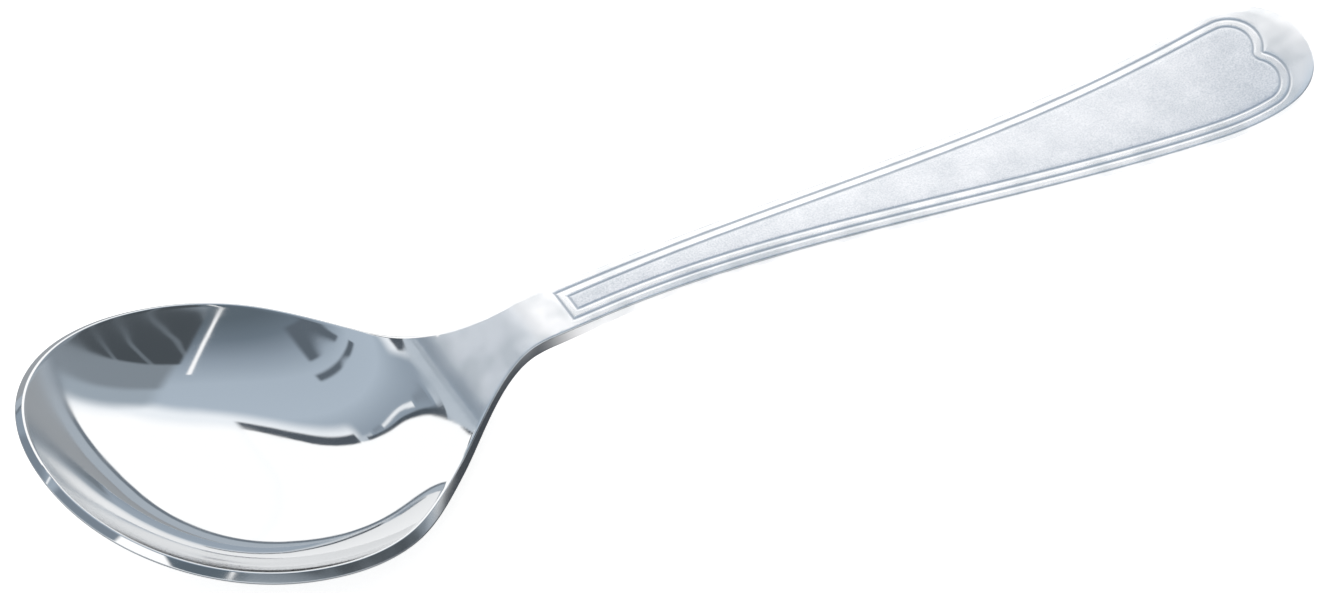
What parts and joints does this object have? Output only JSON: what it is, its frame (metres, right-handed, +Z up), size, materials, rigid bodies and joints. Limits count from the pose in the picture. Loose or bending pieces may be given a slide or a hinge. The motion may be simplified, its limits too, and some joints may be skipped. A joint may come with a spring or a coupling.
{
  "type": "soup spoon",
  "caption": "Polished steel soup spoon with a round hollow bowl, a narrow neck and an arched, tapering handle with a threaded satin panel.",
  "frame": {"origin": "centre of the bounding box on the table that the spoon rests on", "axes": "+X along the length from the bowl to the handle's end, Y across, +Z up out of the bowl"},
  "size_m": [0.1812, 0.051, 0.0204],
  "materials": {
    "polished_steel": "mirror-polished stainless steel",
    "satin_steel": "polished border round a fine satin panel"
  },
  "bodies": {
    "root": {"bowl": "polished_steel", "neck": "polished_steel", "handle": "satin_steel"}
  },
  "joints": []
}
